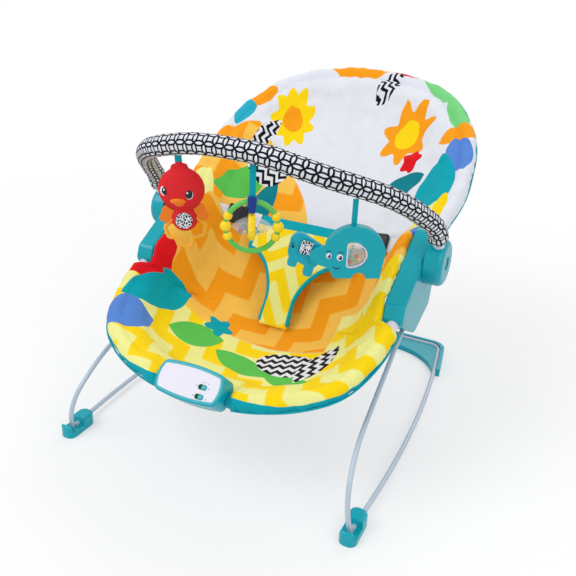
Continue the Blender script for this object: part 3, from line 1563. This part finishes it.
@dataclass
class Elephants:
    """Faces of the moulded elephant and of its young one."""

    grown: ToyFrame
    young: ToyFrame
    face: float = 7.0

    def build(self) -> None:
        """Adds eyes, brows and smile, the window's bezel and a printed patch."""
        bezel = [(-6.5, -56), (-6.5, -89), (4, -87.5), (14, -82.5), (19, -72), (15.5, -62.5), (7, -57.2)]
        route = rounded_route([(x * MM, y * MM, self.face * MM) for x, y in bezel], share=0.4, closed=True)
        mesh = bmesh.new()
        sweep_ring(mesh, even_points(route, 90, closed=True), np.full(90, 0.85 * MM), 8, closed=True)
        bmesh.ops.transform(mesh, matrix=self.grown.matrix(), verts=mesh.verts)
        new_piece("elephant_window_bezel", mesh, PALETTE.plate, "elephant_toy")
        for name, x, y, size in (("left", -29.7, -73.3, 3.5), ("right", -15.6, -75.3, 4.1)):
            self.grown.button(f"elephant_{name}_eye", (x, y, self.face), (size, size * 1.1, 1.0), PALETTE.white, "spot_disc")
            pupil = (x + 0.4, y - 0.2, self.face + 0.6)
            self.grown.button(f"elephant_{name}_pupil", pupil, (size * 0.62, size * 0.7, 0.8), PALETTE.black, "black_plastic")
            glint = (x - 0.5, y + 0.9, self.face + 1.3)
            self.grown.button(f"elephant_{name}_glint", glint, (0.7, 0.8, 0.3), PALETTE.white, "spot_disc")
        self.young.button("young_elephant_eye", (-75.0, -62.5, 5.1), (1.8, 2.1, 0.7), PALETTE.black, "black_plastic")
        self.young.cord_line("young_elephant_brow", [(-77.5, -58.6, 5.1), (-75.2, -57.4, 5.2), (-73.0, -58.2, 5.1)], 0.45, PALETTE.black, "black_plastic")
        mesh = bmesh.new()
        corner = 4.2 * MM
        bmesh.ops.create_cube(mesh, size=1.0)
        shape = Matrix.Rotation(math.radians(-16), 4, "Z") @ Matrix.Diagonal((3.4 * corner, 4.2 * corner, 0.9 * MM, 1))
        bmesh.ops.transform(mesh, matrix=self.young.matrix() @ Matrix.Translation((-58.5 * MM, -64.0 * MM, 5.0 * MM)) @ shape, verts=mesh.verts)
        bmesh.ops.bevel(mesh, geom=mesh.edges, offset=0.0003, segments=2, profile=0.5, affect="EDGES", material=-1)
        patch = new_piece("young_elephant_patch", mesh, PALETTE.speckle, "young_elephant", smooth=False)
        for name, x, y in (("left", -30.5, -67.2), ("right", -14.8, -68.6)):
            brow = [(x - 3.4, y - 1.2, self.face), (x, y + 0.9, self.face + 0.3), (x + 3.4, y - 0.7, self.face)]
            self.grown.cord_line(f"elephant_{name}_brow", brow, 0.5, PALETTE.black, "black_plastic")
        smile = [(-24.0, -87.4, self.face), (-19.5, -91.2, self.face + 0.3), (-14.2, -88.8, self.face)]
        self.grown.cord_line("elephant_smile", smile, 0.65, PALETTE.black, "black_plastic")


@dataclass
class UnitMarks:
    """Small moulded signs beside the two slide switches."""

    place: Placement
    face_middle: Point = (0.0, -0.023, 0.171)
    lean: float = 44.0
    plate_top: float = 0.0002
    dots: tuple = ((12.3, -0.6, 0.9), (30.6, -1.2, 0.9), (12.3, -13.5, 0.9), (31.4, -14.4, 0.9), (19.2, 5.0, 0.8), (23.4, 5.6, 0.8), (27.8, 5.0, 0.8))

    def build(self) -> None:
        """Sets a raised teal dot at each end of the slots and in a row above."""
        mesh = bmesh.new()
        turned = Matrix.Rotation(math.radians(90 - self.lean), 4, "X")
        middle = Vector(self.face_middle)
        for x, y, radius in self.dots:
            spot = Matrix.Translation(middle) @ turned @ Matrix.Translation((x * MM, y * MM, self.plate_top))
            bmesh.ops.create_cone(mesh, cap_ends=True, segments=18, radius1=radius * MM, radius2=radius * 0.8 * MM, depth=0.5 * MM, matrix=spot)
        self.place.move(mesh)
        marks = new_piece("unit_signs", mesh, PALETTE.teal, "seat", smooth=False)


# ---------------------------------------------------------------- dressing of CAD nodes
@dataclass
class Dressing:
    """Finishes of the nodes that show as their CAD solids."""

    nodes: dict[str, bpy.types.Object]

    def paint_node(self, name: str, finish: Finish) -> None:
        """Gives a node its finish and smooth shading across soft edges."""
        data = self.nodes[name].data
        data.materials.clear()
        data.materials.append(finish.build())
        LOG.info("dressed %s in %s", name, finish.name)

    def build(self) -> None:
        """Dresses every node in the finish of its group."""
        groups = (
            (PALETTE.wire, "left_floor_wire right_floor_wire rear_cross_wire left_leg_wire right_leg_wire"),
            (PALETTE.teal, "rear_foot left_front_foot right_front_foot unit_front_shell unit_back_shell tube_clamps"),
            (PALETTE.teal, "left_hub_inner_shell right_hub_inner_shell left_hub_outer_shell right_hub_outer_shell"),
            (PALETTE.teal, "left_toy_bar_drum right_toy_bar_drum sound_knob vibration_knob battery_door"),
            (PALETTE.steel, "hub_screws drum_screws unit_screws vibration_motor battery_cells"),
            (PALETTE.tube, "head_frame_tube front_frame_tube toy_bar_tube"),
            (PALETTE.trim, "head_hem front_hem crotch_panel seat_cover toy_bar_sleeve"),
            (PALETTE.webbing, "left_waist_strap right_waist_strap"),
            (PALETTE.buckle, "left_buckle_socket right_buckle_socket left_buckle_clip right_buckle_clip speaker"),
            (PALETTE.plate, "unit_face_plate"),
            (PALETTE.board, "circuit_board"),
            (PALETTE.brass, "eccentric_weight"),
            (PALETTE.ribbon, "bird_ribbon ring_ribbon elephant_ribbon"),
            (PALETTE.red, "bird_body elephant_beads rattle_beads"),
            (PALETTE.orange, "bird_wings"),
            (PALETTE.amber, "bird_teether"),
            (PALETTE.yellow, "ring_beads capsule_band"),
            (PALETTE.speckle, "bird_belly_disc"),
            (PALETTE.green, "ring_hoop"),
            (PALETTE.navy, "ring_clamp"),
            (PALETTE.clear, "ring_capsule elephant_window"),
            (PALETTE.teal_toy, "elephant_body"),
            (PALETTE.young_toy, "small_elephant"),
        )
        for finish, names in groups:
            for name in names.split():
                self.paint_node(name, finish)


# ---------------------------------------------------------------- studio
@dataclass
class Studio:
    """Pale floor, soft lamps, white surround and the camera."""

    azimuth: float = 24.4966
    elevation: float = 21.9079
    roll: float = 2.77
    camera_place: Point = (0.43269, -0.94619, 0.66216)
    lens: float = 43.75
    floor_half: float = 6.0
    floor_fade: float = 1.5
    floor_clear: float = 0.45
    floor_depth: float = 0.6

    def build_floor(self) -> None:
        """Lays a wide floor under the feet."""
        mesh = bmesh.new()
        bmesh.ops.create_grid(mesh, x_segments=2, y_segments=2, size=self.floor_half)
        low = min(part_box(name)[0][2] for name in ("rear_foot", "left_front_foot", "right_front_foot"))
        bmesh.ops.translate(mesh, verts=mesh.verts, vec=(0, 0, low))
        data = bpy.data.meshes.new("floor")
        mesh.to_mesh(data)
        mesh.free()
        floor = bpy.data.objects.new("floor", data)
        bpy.context.scene.collection.objects.link(floor)
        material = bpy.data.materials.new("pale_floor")
        material.use_nodes = True
        surface = material.node_tree.nodes["Principled BSDF"]
        surface.inputs["Base Color"].default_value = (0.93, 0.93, 0.935, 1)
        surface.inputs["Roughness"].default_value = 0.75
        shade = Shade(material.node_tree)
        away = shade.node("VectorMath", operation="LENGTH")
        shade.feed(away.inputs[0], shade.object_point())
        shown = shade.step(away.outputs["Value"], self.floor_fade, self.floor_clear)
        shade.feed(surface.inputs["Alpha"], shade.math("MULTIPLY", shown, self.floor_depth))
        data.materials.append(material)

    def build_lamp(self, name: str, place: Point, size: float, power: float) -> None:
        """Hangs a square soft lamp that faces the seat.

        Args:
            name: Lamp name.
            place: Where it hangs.
            size: Side of its face.
            power: Its power in watts.
        """
        data = bpy.data.lights.new(name, "AREA")
        data.size = size
        data.energy = power
        lamp = bpy.data.objects.new(name, data)
        lamp.location = place
        lamp.rotation_euler = (Vector((0, 0, 0.2)) - Vector(place)).to_track_quat("-Z", "Y").to_euler()
        bpy.context.scene.collection.objects.link(lamp)

    def build_world(self) -> None:
        """Shows a white surround and lights the seat with a softer grey."""
        world = bpy.data.worlds.new("surround")
        world.use_nodes = True
        bpy.context.scene.world = world
        tree = world.node_tree
        ground = tree.nodes["Background"]
        path = tree.nodes.new("ShaderNodeLightPath")
        strength = tree.nodes.new("ShaderNodeMapRange")
        strength.inputs["To Min"].default_value = 0.66
        strength.inputs["To Max"].default_value = 1.0
        tree.links.new(path.outputs["Is Camera Ray"], strength.inputs["Value"])
        tree.links.new(strength.outputs["Result"], ground.inputs["Strength"])
        ground.inputs["Color"].default_value = (1, 1, 1, 1)

    def build_camera(self) -> None:
        """Sets the camera from its bearing, height and roll."""
        turn, rise, roll = (math.radians(value) for value in (self.azimuth, self.elevation, self.roll))
        back = Vector((math.sin(turn) * math.cos(rise), -math.cos(turn) * math.cos(rise), math.sin(rise)))
        side = Vector((math.cos(turn), math.sin(turn), 0))
        up = back.cross(side)
        side, up = side * math.cos(roll) + up * math.sin(roll), up * math.cos(roll) - side * math.sin(roll)
        data = bpy.data.cameras.new("camera")
        data.lens = self.lens
        data.sensor_width = 36
        data.shift_x = -0.01735
        data.shift_y = -0.06493
        camera = bpy.data.objects.new("camera", data)
        camera.matrix_world = Matrix.Translation(self.camera_place) @ Matrix((side, up, back)).transposed().to_4x4()
        bpy.context.scene.collection.objects.link(camera)
        bpy.context.scene.camera = camera

    def build(self) -> None:
        """Builds the studio and the render settings."""
        self.build_floor()
        self.build_lamp("key_lamp", (-1.3, -1.5, 2.1), 1.6, 27)
        self.build_lamp("fill_lamp", (1.9, -0.9, 1.5), 1.8, 12)
        self.build_lamp("back_lamp", (0.2, 1.9, 1.9), 1.5, 14)
        self.build_world()
        self.build_camera()
        bpy.context.scene.view_settings.view_transform = "Standard"


def main() -> None:
    """Builds each sub-assembly in order."""
    logging.basicConfig(level=logging.INFO, format="%(message)s")
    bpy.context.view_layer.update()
    EFFECTS.build()
    joints, nodes = frame["joints"], frame["nodes"]
    place = Placement.read(joints)
    Dressing(nodes).build()
    Sling(place).build()
    CrotchPanel(place).build()
    WaistStraps(place).build()
    BarSleeve(place).build()
    ring = ToyFrame.read(joints, "ring_swing", "spinning_capsule")
    elephant = ToyFrame.read(joints, "elephant_swing", "elephant_toy")
    young = ToyFrame.read(joints, "elephant_swing", "young_elephant")
    Bird(ToyFrame.read(joints, "bird_swing", "bird_toy")).build()
    pips = (PALETTE.red, PALETTE.yellow, PALETTE.navy, PALETTE.red, PALETTE.green, PALETTE.yellow)
    rattle_spots = ((-14, -85.3, 0), (-8.5, -87, 1.5), (-3, -88.2, -1), (3, -88.4, 1), (8.5, -87, -1), (14, -85.3, 1))
    RattleBalls(ring, "rattle_beads", 2.2, rattle_spots, pips).build()
    window_spots = ((-2, -83, 0), (4, -81.5, 0), (10, -79, 0), (0.5, -77.5, 0), (6.3, -75.8, 0))
    RattleBalls(elephant, "elephant_beads", 2.6, window_spots, (PALETTE.red, PALETTE.green, PALETTE.yellow, PALETTE.green, PALETTE.red)).build()
    Elephants(elephant, young).build()
    UnitMarks(place).build()
    Studio().build()


if __name__ == "__main__":
    main()
